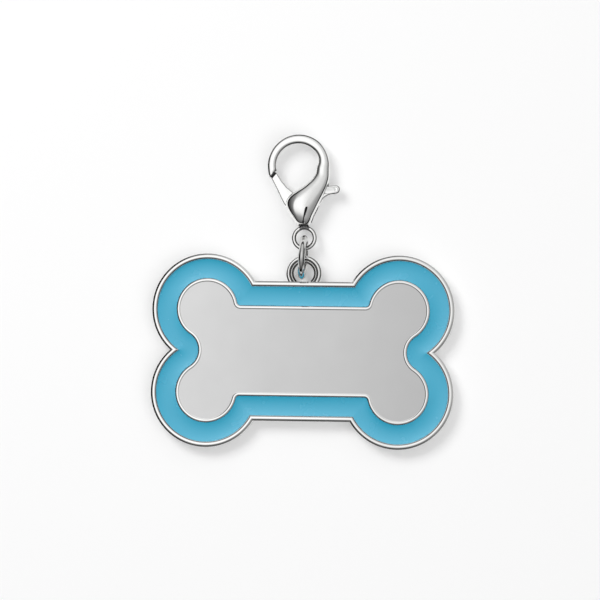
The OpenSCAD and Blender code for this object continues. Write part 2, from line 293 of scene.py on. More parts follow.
def bone_outline(inset, corner_r, notch_r):
    """Outline the given distance inside the tag's edge, with rounded corners and end notches."""
    lobe = Vector((LOBE_X, LOBE_Y))
    radius = LOBE_R - inset
    shaft = SHAFT_Y - inset
    corner_y = shaft + corner_r
    corner_x = LOBE_X - math.sqrt((radius + corner_r) ** 2 - (corner_y - LOBE_Y) ** 2)
    corner = Vector((corner_x, corner_y))
    notch = Vector((LOBE_X + math.sqrt((radius + notch_r) ** 2 - LOBE_Y ** 2), 0))
    quarter = [(corner_x * i / SHAFT_STEPS, shaft) for i in range(SHAFT_STEPS)]
    quarter += arc(corner, corner_r, -90, direction(lobe - corner), CORNER_STEPS)
    quarter += arc(lobe, radius, direction(corner - lobe), direction(notch - lobe), LOBE_STEPS)
    quarter += arc(notch, notch_r, direction(lobe - notch), 180, NOTCH_STEPS)
    quarter.append((notch.x - notch_r, 0))
    right = quarter + [(x, -y) for x, y in reversed(quarter[1:-1])]
    return right + [(-x, -y) for x, y in right]


# Corners of the rim, and of the plateau
RIM_CORNER_R = 0.1
PLATEAU_CORNER_R = 0.5


def plateau_notch_r():
    """Radius of the plateau's end notch, which keeps the channel's width there."""
    radius = LOBE_R - PLATEAU_IN
    depth = math.sqrt((LOBE_R - RIM_W) ** 2 - LOBE_Y ** 2) - CHANNEL_W
    return (depth ** 2 + LOBE_Y ** 2 - radius ** 2) / (2 * (radius - depth))


def rim_ring(inset, z):
    return [(x, y, z) for x, y in bone_outline(inset, RIM_CORNER_R, RIM_CORNER_R)]


def plateau_ring(inset, z):
    extra = inset - PLATEAU_IN
    outline = bone_outline(inset, PLATEAU_CORNER_R + extra, plateau_notch_r() + extra)
    return [(x, y, z) for x, y in outline]


# Tag plate

# Crown of the rim: places across it, as shares of RIM_W, and how far each lies below the top
CROWN = [
    (0, 0.3), (0.008, 0.22), (0.02, 0.175), (0.07, 0.146), (0.12, 0.117), (0.17, 0.088),
    (0.22, 0.059), (0.27, 0.032), (0.31, 0.014), (0.36, 0.004), (0.42, 0), (0.5, 0),
    (0.6, 0.002), (0.68, 0.012), (0.74, 0.032), (0.8, 0.068), (0.86, 0.112), (0.92, 0.158),
    (0.965, 0.2), (0.988, 0.25), (1, 0.36),
]
BACK_ROUND = 0.2
# Raised polished lip of the plateau: inset from its outline, and how far each row lies below the
# top. It starts at this height, just under the enamel
LIP_Z = ENAMEL_Z - 0.02
LIP = [
    (0.01, 0.2), (0.03, 0.13), (0.06, 0.1), (0.1, 0.072), (0.14, 0.046), (0.18, 0.022),
    (0.21, 0.007), (0.25, 0), (0.42, 0), (0.45, 0.007), (0.49, 0.031), (0.53, 0.056),
    (0.57, 0.073), (0.6, 0.078),
]


def crown_rows():
    """Inset and height across the rounded top of the rim, from its outer side to its inner one."""
    return [(RIM_W * share, TAG_T - drop) for share, drop in CROWN]


def back_rows():
    """Inset and height round the edge of the back."""
    turns = [math.pi / 2 * i / BACK_STEPS for i in range(BACK_STEPS + 1)]
    return [(BACK_ROUND * (1 - math.sin(a)), BACK_ROUND * (1 - math.cos(a))) for a in turns]


def lip_rows():
    """Inset and height over the plateau's lip, and down its inner slope to the face."""
    return [(PLATEAU_IN, LIP_Z)] + [(PLATEAU_IN + inset, PLATEAU_Z - drop) for inset, drop in LIP]


# The eyelet's loop runs between these angles, so that its ends lie in the rim
EYELET_TURN = (-48, 228)
EYELET_SHARP = 60
# Front half of its section, with a groove round it, from its outer side to the hole
EYELET_FRONT = [
    (1, 0), (1, 0.3), (1, 0.5), (0.985, 0.57), (0.94, 0.62), (0.87, 0.68), (0.8, 0.74),
    (0.73, 0.8), (0.66, 0.855), (0.58, 0.905), (0.48, 0.94), (0.35, 0.957), (0.22, 0.95),
    (0.14, 0.91), (0.08, 0.84), (0.02, 0.75), (-0.04, 0.68), (-0.11, 0.65), (-0.18, 0.68),
    (-0.24, 0.75), (-0.3, 0.83), (-0.36, 0.88), (-0.42, 0.9), (-0.48, 0.89), (-0.56, 0.84),
    (-0.66, 0.755), (-0.76, 0.67), (-0.86, 0.585), (-0.94, 0.52), (-0.985, 0.47), (-1, 0.4),
    (-1, 0.2),
]
# Parts of the section that get painted shade: the groove, and the side towards the hole
EYELET_SHADE_BANDS = [(-0.32, 0.13), (-1.1, -0.56)]


def eyelet_profile():
    back = [(-1, 0)] + [(x, -z) for x, z in reversed(EYELET_FRONT[1:])]
    return [(x * EYELET_WIRE / 2, z * EYELET_WIRE / 2) for x, z in EYELET_FRONT + back]


def in_eyelet_shade(point):
    """Whether a point lies in the parts of the eyelet that get painted shade, outside the tag's
    edge.
    """
    place = point - EYELET_AT
    across = (Vector((place.x, place.y)).length - EYELET_R) / (EYELET_WIRE / 2)
    return point.y > SHAFT_Y and any(low < across < high for low, high in EYELET_SHADE_BANDS)


def tag_plate():
    """The back, the rim, the bottom of the channel and the plateau in one skin, and the eyelet."""
    rings = [rim_ring(inset, z) for inset, z in back_rows() + crown_rows()]
    rings.append(rim_ring(RIM_W, FLOOR_T))
    rings.append(plateau_ring(PLATEAU_IN, FLOOR_T))
    rings += [plateau_ring(inset, z) for inset, z in lip_rows()]
    plate = new_piece("bone_plate", *skin(rings))
    loop = torus_rings(EYELET_R, eyelet_profile(), *EYELET_TURN, EYELET_STEPS)
    eyelet = new_piece("eyelet", *skin(moved(loop, Matrix.Translation(EYELET_AT))))
    shaded(plate)
    shaded(eyelet, EYELET_SHARP)
    return combined(plate, eyelet, "UNION")


# Enamel

DISH = 0.14
ENAMEL_SHARP = 40
# The painted shading is 0 where the enamel is darkest and 1 where it is lightest. It paints shade
# towards this side of each stretch of the channel, and light towards the other
SHADED_SIDE = Vector((-0.4, 0.92))
# The painted shading in the middle of the channel, and under the surface
MIDDLE_SHADING = 0.5


def enamel_fill():
    """The enamel's hollow surface, its walls and its bottom, with a value of painted shading for
    each point.
    """
    outer = rim_ring(RIM_W, 0)
    inner = plateau_ring(PLATEAU_IN, 0)
    pairs = list(zip(outer, inner))
    sides = [Vector((a[0] - b[0], a[1] - b[1])).normalized().dot(SHADED_SIDE) for a, b in pairs]
    rings = [[(x, y, FLOOR_T) for x, y, _ in outer]]
    painted_shading_values = [MIDDLE_SHADING] * len(outer)
    for i in range(ENAMEL_STEPS + 1):
        t = (1 - math.cos(math.pi * i / ENAMEL_STEPS)) / 2
        z = ENAMEL_Z + DISH * ((2 * t - 1) ** 2 - 0.5)
        rings.append([(a[0] + t * (b[0] - a[0]), a[1] + t * (b[1] - a[1]), z) for a, b in pairs])
        painted_shading_values += [MIDDLE_SHADING + (t - 0.5) * side for side in sides]
    rings.append([(x, y, FLOOR_T) for x, y, _ in inner])
    painted_shading_values += [MIDDLE_SHADING] * len(inner)
    fill = new_piece("enamel", *skin(rings, closed=True))
    painted_shading = fill.data.attributes.new("painted_shading", "FLOAT", "POINT")
    painted_shading.data.foreach_set("value", painted_shading_values)
    return shaded(fill, ENAMEL_SHARP)


# Jump ring

# Where the seam lies round the ring, in degrees
SEAM_TURN = 40
RING_SHARP = 40


def jump_ring():
    gap = math.degrees(RING_SEAM / RING_R)
    profile = [(v * RING_WIRE / 2, u * RING_WIRE / 2) for u, v in ROUND]
    start, end = SEAM_TURN + gap / 2, SEAM_TURN + 360 - gap / 2
    rings = torus_rings(RING_R, profile, start, end, RING_STEPS)
    place = Matrix.Translation(RING_AT) @ Matrix.Rotation(math.radians(-RING_LEAN), 4, "Z")
    rings = moved(rings, place @ Matrix.Rotation(math.radians(90), 4, "Y"))
    return shaded(rounded(new_piece("split_ring", *skin(rings))), RING_SHARP)


# Clasp, placed from the centre of its eye

NECK_Y = EYE_R + EYE_WIRE / 2 + NECK_GAP
NECK_SHARE = 0.85
BODY_L = CLASP_L - NECK_Y
# Rows of the hook: angle round the bend, and width and thickness as shares of HOOK_W and HOOK_T
BEND_SHARES = [
    (-5, 1.45, 1.25), (8, 1.28, 1.15), (22, 1.14, 1.08), (38, 1.06, 1.03), (55, 1.02, 1),
    (73, 1, 1), (91, 0.99, 1), (109, 0.97, 1), (127, 0.95, 0.99), (145, 0.93, 0.97),
    (162, 0.91, 0.95), (177, 0.9, 0.92), (190, 0.89, 0.9),
]
ROOT_X = BEND_R - BEND_SHIFT - BEND_SHARES[0][1] * HOOK_W / 2
# Rows of the body: place across and along, width and thickness as shares, and slope in degrees
BODY_SHARES = [
    (-0.1, -0.025, 0.3, 0.36, -9), (-0.11, 0.004, 0.38, 0.56, -10),
    (-0.15, 0.034, 0.52, 0.7, -14), (-0.21, 0.097, 0.69, 0.84, -17),
    (-0.26, 0.168, 0.845, 0.93, -19), (-0.26, 0.247, 0.95, 0.98, -20),
    (-0.18, 0.327, 1, 0.998, -20), (-0.03, 0.407, 0.97, 0.98, -22),
    (0.18, 0.486, 0.875, 0.93, -23), (0.42, 0.564, 0.75, 0.86, -25),
    (0.62, 0.642, 0.655, 0.78, -24), (0.8, 0.725, 0.57, 0.7, -20),
    (0.95, 0.838, 0.48, 0.6, -14),
]
# The body's share of bevelled shape, and the angle round the bend at which the hook's is full
BODY_BEVELLED = 0.5
HOOK_BEVELLED_A = 55
# The hook is wider than the shares of its rows by this factor
HOOK_SPREAD = 1.05
# The joint between hook and gate: its angle, and the hook's width and thickness there as shares
JOINT_A = 229
TIP_SHARES = (0.86, 0.85)
# The tip's distance beyond the bend's last row, as a share of HOOK_W, and its turn inwards
TIP_SHARE = 0.44
TIP_IN = 6
# The slot for the lever: its ends as shares along the body, and more than its reach across
SLOT_LOW_Y = NECK_Y + 0.045 * BODY_L
SLOT_HIGH_Y = NECK_Y + 0.702 * BODY_L
SLOT_REACH = 8
# The pin's bore, and its ends on the back and the front as shares of BELLY_T
BORE_GAP = 0.02
PIN_BACK_SHARE = 0.47
PIN_FRONT_SHARE = 0.41


def flat(point):
    """A point of the clasp's middle plane, from the eye's centre."""
    return Vector((point.x - EYE_AT.x, point.y - EYE_AT.y))


def hook_tip():
    """Middle of the hook's tip."""
    angle, width, _ = BEND_SHARES[-1]
    radius = BEND_R - width * HOOK_W / 2
    last = Vector((-BEND_SHIFT, CLASP_L)) + radius * compass(angle)
    return last + TIP_SHARE * HOOK_W * compass(angle + 90 - TIP_IN)


def between(a, b, c, d, t):
    """Value on the smooth curve through b and c, with a before and d after them."""
    return b + 0.5 * t * (c - a + t * (2 * a - 5 * b + 4 * c - d + t * (3 * (b - c) + d - a)))


def smooth_rows(rows, steps):
    """Rows on the smooth curves through the given ones, with this many steps between two."""
    last = len(rows) - 1
    result = []
    for i in range(last):
        four = [rows[max(i - 1, 0)], rows[i], rows[i + 1], rows[min(i + 2, last)]]
        for j in range(steps):
            result.append([between(*values, j / steps) for values in zip(*four)])
    result.append(list(rows[last]))
    return result


def section(row):
    """Ring of one section, from its middle, width, thickness, slope and share of bevelled shape."""
    x, y, width, thickness, slope, bevelled = row
    side = compass(slope)
    ring = []
    for (u, v), (bevel_u, bevel_v) in zip(OVAL, BEVELLED):
        across = width / 2 * (u + bevelled * (bevel_u - u))
        up = thickness / 2 * (v + bevelled * (bevel_v - v))
        ring.append(EYE_AT + Vector((x + across * side.x, y + across * side.y, up)))
    return ring


def clasp_rows():
    """Rows for section(), from the neck up the body and round the hook to its tip."""
    rows = []
    for x, y, width, thickness, slope in BODY_SHARES:
        middle = (x * ROOT_X, NECK_Y + y * BODY_L)
        rows.append((*middle, width * BELLY_W, thickness * BELLY_T, slope, BODY_BEVELLED))
    for angle, share, thickness in BEND_SHARES:
        width = share * HOOK_SPREAD
        middle = (BEND_R - width * HOOK_W / 2) * compass(angle)
        place = (middle.x - BEND_SHIFT, CLASP_L + middle.y)
        bevelled = min(max(angle / HOOK_BEVELLED_A, BODY_BEVELLED), 1)
        rows.append((*place, width * HOOK_W, thickness * HOOK_T, angle, bevelled))
    rows.append((*hook_tip(), TIP_SHARES[0] * HOOK_W, TIP_SHARES[1] * HOOK_T, JOINT_A, 1))
    return rows


def block(low, high, place):
    """A box between two corners, to cut with."""
    xs, ys, zs = zip(low, high)
    points = [place + Vector((x, y, z)) for z in zs for y in ys for x in xs]
    faces = [(0, 2, 3, 1), (4, 5, 7, 6), (0, 1, 5, 4), (2, 6, 7, 3), (0, 4, 6, 2), (1, 3, 7, 5)]
    return new_piece("block", points, faces)


def rod(name, place, radius, low, high, matrix=Matrix.Identity(4)):
    """A round bar along its own Z axis."""
    rim = [radius * compass(360 * k / ROD_STEPS) for k in range(ROD_STEPS)]
    rings = [[matrix @ Vector((*side, z)) + place for side in rim] for z in (low, high)]
    return new_piece(name, *skin(rings))


# Crease on the front of the clasp, whose walls get painted shade: points along it, and its radius
# there
CREASE = [
    (0.385, 21.86, 3.9, 0.12), (0.36, 21.62, 3.86, 0.2), (0.25, 21.2, 3.8, 0.19),
    (0.08, 20.6, 3.72, 0.13), (-0.04, 20.1, 3.58, 0.1), (-0.12, 19.6, 3.36, 0.13),
    (-0.14, 19.35, 3.2, 0.08),
]
CREASE_BALLS = [(Vector(place), radius) for *place, radius in CREASE]
CREASE_SHARP = 60


def crease():
    sides = [compass(360 / CREASE_STEPS * k) for k in range(CREASE_STEPS)]
    rings = [[p + r * Vector((side.x, 0, side.y)) for side in sides] for p, r in CREASE_BALLS]
    return new_piece("crease", *skin(rings))


# The recess between the eye and the body gets painted shade between these distances above the eye's
# centre, and as far as this to each side of it
NECK_BAND = (1.74, 2.04)
NECK_REACH = 0.6
# The inner side of the eye gets painted shade as far as this share of its wire, and all of the wire
# does near the neck
EYE_DARK = -0.42
EYE_DARK_REACH = 0.75
# A share that is just outside the wire, and a distance that still counts as on a surface
OUTSIDE = 1.1
NEAR = 0.01


def in_crease(point):
    """Whether a point lies on the wall of the crease."""
    for (a, r), (b, q) in zip(CREASE_BALLS, CREASE_BALLS[1:]):
        t = min(max((point - a).dot(b - a) / (b - a).length_squared, 0), 1)
        if (point - a - t * (b - a)).length < r + t * (q - r) + NEAR:
            return True
    return False


def in_neck(point):
    """Whether a point lies in the recess at the neck."""
    place = flat(point)
    return NECK_BAND[0] < place.y < NECK_BAND[1] and abs(place.x) < NECK_REACH


def in_eye(point):
    """Whether a point lies where the eye gets painted shade."""
    place = flat(point)
    across = (place.length - EYE_R) / (EYE_WIRE / 2)
    if -OUTSIDE < across < EYE_DARK:
        return True
    return abs(across) < OUTSIDE and place.y > 0 and abs(place.x) < EYE_DARK_REACH


def in_joint(point):
    """Whether a point lies between the ends of the hook and the gate."""
    offset = flat(point) - hook_tip()
    beyond = offset.dot(compass(JOINT_A + 90))
    return offset.length < HOOK_W and -NEAR < beyond < GATE_GAP + NEAR


def clasp_body():
    """The hook and body in one loft, with the slot, the eye, the neck, the bore and the crease."""
    rings = [section(row) for row in smooth_rows(clasp_rows(), LOFT_STEPS)]
    body = shaded(new_piece("clasp_frame", *skin(rings)))
    low = (-SLOT_REACH, SLOT_LOW_Y, -SLOT_T / 2)
    high = (SLOT_REACH, SLOT_HIGH_Y, SLOT_T / 2)
    combined(body, block(low, high, EYE_AT), "DIFFERENCE")
    profile = [(u * EYE_WIRE / 2, v * EYE_WIRE / 2) for u, v in ROUND]
    loop = torus_rings(EYE_R, profile, 0, 360, EYE_STEPS)[:-1]
    eye = new_piece("eye", *skin(moved(loop, Matrix.Translation(EYE_AT)), closed=True))
    combined(body, shaded(eye), "UNION")
    upwards = Matrix.Rotation(math.radians(-90), 4, "X")
    neck = rod("neck", EYE_AT, NECK_SHARE * EYE_WIRE, EYE_R, SLOT_LOW_Y - NECK_GAP, upwards)
    combined(body, shaded(neck), "UNION")
    bore = rod("bore", PIN_AT, PIN_R + BORE_GAP, -BELLY_T, PIN_FRONT_SHARE * BELLY_T)
    combined(body, bore, "DIFFERENCE")
    combined(body, shaded(crease(), CREASE_SHARP), "DIFFERENCE")
    return shaded(body)


# Lever, pin and spring

# Sides of the lever's two arms: shares along an arm from the pin, and across it
GATE_OUTER_SHARES = [(0.683, 0.98), (0.52, 1.28), (0.366, 1.52), (0.16, 1.5), (-0.02, 1.02)]
GATE_INNER_SHARES = [(0.25, -0.68), (0.443, -0.31), (0.606, -0.21), (0.761, -0.26), (0.87, -0.38)]
TAB_LOWER_SHARES = [
    (0.463, -0.95), (0.536, -0.58), (0.633, -0.35), (0.745, -0.34), (0.84, -0.56), (0.96, -0.9),
]
TAB_UPPER_SHARES = [(1, 1), (0.857, 1.45), (0.567, 1.61)]
# The tab: the centre of its round end as shares of ROOT_X and BODY_L, its slope in degrees, and
# the pad's length as a share of TAB_R
TAB_SHARES = (1.68, 0.606)
TAB_SLOPE = 8
TAB_PAD_SHARE = 1.8
PAD_T = 1.24
PAD_SHARP = 25
PLATE_T = 1.2
# Rows round the lever's edge: inset and height below its face
PLATE_EDGE = [(0, 0.2), (0.01, 0.15), (0.03, 0.11), (0.13, 0.03), (0.17, 0.006), (0.22, 0)]
PLAIN_EDGE = [(0, 0)]
# Front of the tab, from its edge to the middle of its dish: inset and height below the top
TAB_FRONT = [
    (0, 0.24), (0.005, 0.19), (0.03, 0.15), (0.16, 0.04), (0.2, 0.015), (0.25, 0), (0.3, 0.003),
    (0.36, 0.02), (0.42, 0.034), (0.5, 0.04),
]
# Tongue on the gate's end: its length, and its width and thickness as shares of the gate's
TONGUE = 0.22
TONGUE_W_SHARE = 0.8
TONGUE_T_SHARE = 0.6
# The boss round the pin is a little thinner than the lever, so that it stays inside its faces
BOSS_WALL = 0.36
BOSS_T = PLATE_T - 0.02
PIN_CLEARANCE = 0.05
PIN_SHARP = 50
# The spring's seat under the tab, from the pin, and its foot at the slot's low end, as shares
SEAT_SHARES = (0.55, 0.03)
SEAT_W = 1
FOOT_SHARE = 0.11
SPRING_REST = 0.02
SPRING_SHARP = 50

PIN = flat(PIN_AT)
GATE_TIP = hook_tip() + GATE_GAP * compass(JOINT_A + 90)
GATE_RUN = GATE_TIP - PIN
GATE_ACROSS = GATE_TIP_W * Vector((-GATE_RUN.y, GATE_RUN.x)).normalized()
TAB = Vector((TAB_SHARES[0] * ROOT_X, NECK_Y + TAB_SHARES[1] * BODY_L))
TAB_RUN = TAB - PIN
TAB_ACROSS = TAB_R * Vector((-TAB_RUN.y, TAB_RUN.x)).normalized()
SEAT = PIN + Vector((SEAT_SHARES[0] * ROOT_X, SEAT_SHARES[1] * BODY_L))
FOOT = Vector((FOOT_SHARE * ROOT_X, SLOT_LOW_Y))


def gate_side(shares):
    return [PIN + along * GATE_RUN + across * GATE_ACROSS for along, across in shares]


def tab_side(shares):
    return [PIN + along * TAB_RUN + across * TAB_ACROSS for along, across in shares]


def inset_outline(points, distance):
    """The outline moved inwards, for points that run counterclockwise."""
    result = []
    for i, p in enumerate(points):
        before = (p - points[i - 1]).normalized()
        after = (points[(i + 1) % len(points)] - p).normalized()
        side = Vector((-before.y - after.y, before.x + after.x))
        result.append(p + distance * side / (1 + before.dot(after)))
    return result


def edged_plate(name, outline, thickness, edge):
    """A plate round the clasp's middle plane, with rows of inset and height below its face."""
    front = [(inset, thickness / 2 - drop) for inset, drop in edge]
    rings = []
    for inset, z in [(inset, -z) for inset, z in reversed(front)] + front:
        rings.append([EYE_AT + Vector((p.x, p.y, z)) for p in inset_outline(outline, inset)])
    return new_piece(name, *skin(rings))


def half_circle(centre, start):
    """Points on half a circle of the tab's radius, from an angle in degrees."""
    return [centre + TAB_R * compass(start + 180 * i / TAB_STEPS) for i in range(TAB_STEPS + 1)]


def pad_outline():
    """Outline of the tab's pad, a bar with two round ends."""
    far = TAB - TAB_PAD_SHARE * TAB_R * compass(TAB_SLOPE)
    return half_circle(TAB, TAB_SLOPE - 90) + half_circle(far, TAB_SLOPE + 90)


def boss_outline():
    radius = PIN_R + PIN_CLEARANCE + BOSS_WALL
    return [PIN + radius * compass(360 * i / BOSS_STEPS) for i in range(BOSS_STEPS)]


def lever_outline():
    """Outline of the lever: the gate's outer side, the spring's seat, the tab, the inner side."""
    seat_side = (SEAT - FOOT).normalized()
    across = SEAT_W / 2 * Vector((seat_side.y, -seat_side.x))
    half_tip = GATE_TIP_W / 2 * compass(JOINT_A)
    points = [GATE_TIP + half_tip] + gate_side(GATE_OUTER_SHARES)
    points += [PIN, SEAT - across, SEAT + across]
    points += tab_side(TAB_LOWER_SHARES) + [TAB] + tab_side(TAB_UPPER_SHARES)
    return points + gate_side(GATE_INNER_SHARES) + [GATE_TIP - half_tip]


def tongue():
    """Tongue between the ends of the gate and the hook."""
    size = (TONGUE_W_SHARE * GATE_TIP_W, TONGUE_T_SHARE * PLATE_T)
    ends = [GATE_TIP - reach * compass(JOINT_A + 90) for reach in (-TONGUE, TONGUE)]
    return new_piece("tongue", *skin([section((*end, *size, JOINT_A, 1)) for end in ends]))


def clasp_lever():
    """The gate and the tab in one plate, with the boss, the pad, the tongue and the bore."""
    lever = shaded(edged_plate("thumb_lever", lever_outline(), PLATE_T, PLATE_EDGE))
    combined(lever, edged_plate("boss", boss_outline(), BOSS_T, PLAIN_EDGE), "UNION")
    pad = edged_plate("tab", pad_outline(), PAD_T, TAB_FRONT)
    combined(lever, shaded(pad, PAD_SHARP), "UNION")
    combined(lever, shaded(tongue()), "UNION")
    bore = rod("bore", PIN_AT, PIN_R + PIN_CLEARANCE, -BELLY_T / 2, BELLY_T / 2)
    combined(lever, bore, "DIFFERENCE")
    return shaded(lever)


def lever_pin():
    pin = rod("rivet", PIN_AT, PIN_R, -PIN_BACK_SHARE * BELLY_T, PIN_FRONT_SHARE * BELLY_T)
    return shaded(rounded(pin), PIN_SHARP)


def lever_spring():
    """Round wire that winds up from the slot's low end to its seat under the tab."""
    up = (SEAT - FOOT).normalized()
    along = Vector((up.x, up.y, 0))
    across = Vector((up.y, -up.x, 0))
    low = ((COIL_R + COIL_WIRE / 2) * up.x + SPRING_REST) / up.y + COIL_WIRE / 2
    high = (SEAT - FOOT).length - COIL_WIRE / 2 - SPRING_REST
    foot = EYE_AT + Vector((FOOT.x, FOOT.y, 0))
    sides = [2 * math.pi * k / WIRE_STEPS for k in range(WIRE_STEPS)]
    steps = COIL_STEPS * COIL_TURNS
    rings = []
    for i in range(steps + 1):
        turn = 2 * math.pi * COIL_TURNS * i / steps
        out = math.cos(turn) * across + Vector((0, 0, math.sin(turn)))
        middle = foot + (low + (high - low) * i / steps) * along + COIL_R * out
        ring = [middle + COIL_WIRE / 2 * (math.cos(b) * out + math.sin(b) * along) for b in sides]
        rings.append(ring)
    return shaded(new_piece("coil_spring", *skin(rings)), SPRING_SHARP)


# Materials


def new_material(name):
    material = bpy.data.materials.new(name)
    material.use_nodes = True
    tree = material.node_tree
    return material, tree, tree.nodes["Principled BSDF"]


def ramp_of(tree, value, stops, start=-1):
    """A curve of greys over a value that runs from the start to 1, from stops of value and grey."""
    scaled = tree.nodes.new("ShaderNodeMapRange")
    scaled.inputs["From Min"].default_value = start
    tree.links.new(value, scaled.inputs["Value"])
    ramp = tree.nodes.new("ShaderNodeValToRGB")
    ramp.color_ramp.interpolation = "EASE"
    elements = ramp.color_ramp.elements
    while len(elements) < len(stops):
        elements.new(0.5)
    for element, (place, grey) in zip(elements, stops):
        element.position = (place - start) / (1 - start)
        element.color = (grey, grey, grey, 1)
    tree.links.new(scaled.outputs["Result"], ramp.inputs["Fac"])
    return ramp.outputs["Color"]


def noise(tree, scale, detail):
    """A noise texture with a scale in waves a millimetre."""
    place = tree.nodes.new("ShaderNodeTexCoord")
    node = tree.nodes.new("ShaderNodeTexNoise")
    node.inputs["Scale"].default_value = scale / MM
    node.inputs["Detail"].default_value = detail
    tree.links.new(place.outputs["Object"], node.inputs["Vector"])
    return node.outputs["Fac"]


# The range in which most of a noise texture's values lie
NOISE_MIDDLE = (0.3, 0.7)


def uneven(tree, shader, scale, detail, roughness):
    """Lets the roughness vary between two values with a noise texture."""
    node = tree.nodes.new("ShaderNodeMapRange")
    node.inputs["From Min"].default_value, node.inputs["From Max"].default_value = NOISE_MIDDLE
    node.inputs["To Min"].default_value, node.inputs["To Max"].default_value = roughness
    tree.links.new(noise(tree, scale, detail), node.inputs["Value"])
    tree.links.new(node.outputs["Result"], shader.inputs["Roughness"])


def bump(tree, shader, scale, detail, depth):
    """Adds a noise texture's relief, with a depth in millimetres."""
    node = tree.nodes.new("ShaderNodeBump")
    node.inputs["Strength"].default_value = 1
    node.inputs["Distance"].default_value = depth * MM
    tree.links.new(noise(tree, scale, detail), node.inputs["Height"])
    tree.links.new(node.outputs["Normal"], shader.inputs["Normal"])


def metal(name, colour, roughness, grain, depth):
    """Plated metal. The grain is its relief's scale in waves a millimetre, and depth the height."""
    material, tree, shader = new_material(name)
    shader.inputs["Metallic"].default_value = 1
    shader.inputs["Base Color"].default_value = (*colour, 1)
    uneven(tree, shader, scale=0.3, detail=3, roughness=roughness)
    bump(tree, shader, scale=grain, detail=2, depth=depth)
    return material


# The satin plating's plain colour, and the greys of painted light along the plate that take its
# place, lighter to the left, from this far to the left of the middle to as far to the right
SATIN_COLOUR = (0.7, 0.7, 0.7)
SATIN_REACH = 20
SATIN_GREYS = [(0, 0.79), (0.5, 0.71), (1, 0.65)]


def satin_metal():
    """Satin plating, with painted light that makes it a little brighter towards the left end of the
    plate.
    """
    material = metal("satin_metal", SATIN_COLOUR, roughness=(0.32, 0.34), grain=12, depth=0.001)
    tree = material.node_tree
    place = tree.nodes.new("ShaderNodeTexCoord")
    split = tree.nodes.new("ShaderNodeSeparateXYZ")
    tree.links.new(place.outputs["Object"], split.inputs[0])
    scaled = tree.nodes.new("ShaderNodeMapRange")
    scaled.inputs["From Min"].default_value = -SATIN_REACH * MM
    scaled.inputs["From Max"].default_value = SATIN_REACH * MM
    tree.links.new(split.outputs["X"], scaled.inputs["Value"])
    greys = ramp_of(tree, scaled.outputs["Result"], SATIN_GREYS, 0)
    tree.links.new(greys, tree.nodes["Principled BSDF"].inputs["Base Color"])
    return material


# The enamel's blue where shade is painted, and where light is painted
ENAMEL_SHADED = (0.002, 0.315, 0.485, 1)
ENAMEL_LIT = (0.1, 0.45, 0.64, 1)


def enamel():
    """Blue enamel, from its colour under painted shade to its colour under painted light, by the
    painted shading of the surface.
    """
    material, tree, shader = new_material("enamel")
    painted_shading = tree.nodes.new("ShaderNodeAttribute")
    painted_shading.attribute_name = "painted_shading"
    ramp = tree.nodes.new("ShaderNodeValToRGB")
    for element, colour in zip(ramp.color_ramp.elements, (ENAMEL_SHADED, ENAMEL_LIT)):
        element.color = colour
    tree.links.new(painted_shading.outputs["Fac"], ramp.inputs["Fac"])
    tree.links.new(ramp.outputs["Color"], shader.inputs["Base Color"])
    shader.inputs["Specular IOR Level"].default_value = 0.6
    uneven(tree, shader, scale=0.4, detail=2, roughness=(0.24, 0.28))
    bump(tree, shader, scale=0.25, detail=1, depth=0.002)
    return material


polished = metal(
    "polished_metal", (0.93, 0.93, 0.92), roughness=(0.05, 0.08), grain=0.7, depth=0.002)
satin = satin_metal()
steel = metal("steel", (0.6, 0.6, 0.6), roughness=(0.2, 0.3), grain=4, depth=0.003)
# Near-black metal that paints shade in the crease, in the recess at the neck and in the gap between
# the hook and the gate
painted_shade_black = metal(
    "painted_shade_black", (0.05, 0.05, 0.05), roughness=(0.4, 0.5), grain=4, depth=0.003)
# Dark grey metal that paints shade on the eyelet's groove and on the inner sides of the eyelet and
# the eye
painted_shade_grey = metal(
    "painted_shade_grey", (0.2, 0.2, 0.2), roughness=(0.15, 0.25), grain=4, depth=0.003)
ring_metal = metal(
    "ring_metal", (0.66, 0.66, 0.65), roughness=(0.06, 0.1), grain=0.7, depth=0.002)


# Pieces

# The plate's two flat faces are larger than this, in square millimetres
LARGE_FACE = 100


def fit(piece, node, slot, *materials):
    """Puts a finished piece in the place of a CAD node."""
    piece.data.materials.clear()
    for material in materials:
        piece.data.materials.append(material)
    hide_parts(node)
    return piece


def coat(piece, material, *parts):
    """Gives one of a piece's materials to the faces whose middle lies in one of the parts."""
    number = piece.data.materials.find(material.name)
    for face in piece.data.polygons:
        if any(within(face.center / MM) for within in parts):
            face.material_index = number


def flatten(piece, material):
    """Shades the large faces flat, and gives one of the piece's materials to the upper one."""
    number = piece.data.materials.find(material.name)
    for face in piece.data.polygons:
        if face.area > LARGE_FACE * MM ** 2:
            face.use_smooth = False
            if face.normal.z > 0:
                face.material_index = number


plate = tag_plate()
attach(fit(plate, "tag_plate", "tag_metal", polished, satin, painted_shade_grey), "tag")
# Painted shade in dark grey on the eyelet's groove and on the side of its wire towards the hole
coat(plate, painted_shade_grey, in_eyelet_shade)
flatten(plate, satin)
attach(fit(enamel_fill(), "enamel_fill", "enamel", enamel()), "tag")
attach(fit(jump_ring(), "jump_ring", "ring_metal", ring_metal), "ring")
body = clasp_body()
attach(fit(body, "clasp_body", "clasp_metal", polished, painted_shade_black, painted_shade_grey), "clasp")
# The darkest metal comes last, and covers the other where their parts overlap
# Painted shade in dark grey on the inner side of the eye and on its wire near the neck
coat(body, painted_shade_grey, in_eye)
# Painted shade in near black on the crease, the recess at the neck and the ends of the hook and the
# gate
coat(body, painted_shade_black, in_crease, in_neck, in_joint)
lever = clasp_lever()
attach(fit(lever, "clasp_lever", "clasp_metal", polished, painted_shade_black), "lever")
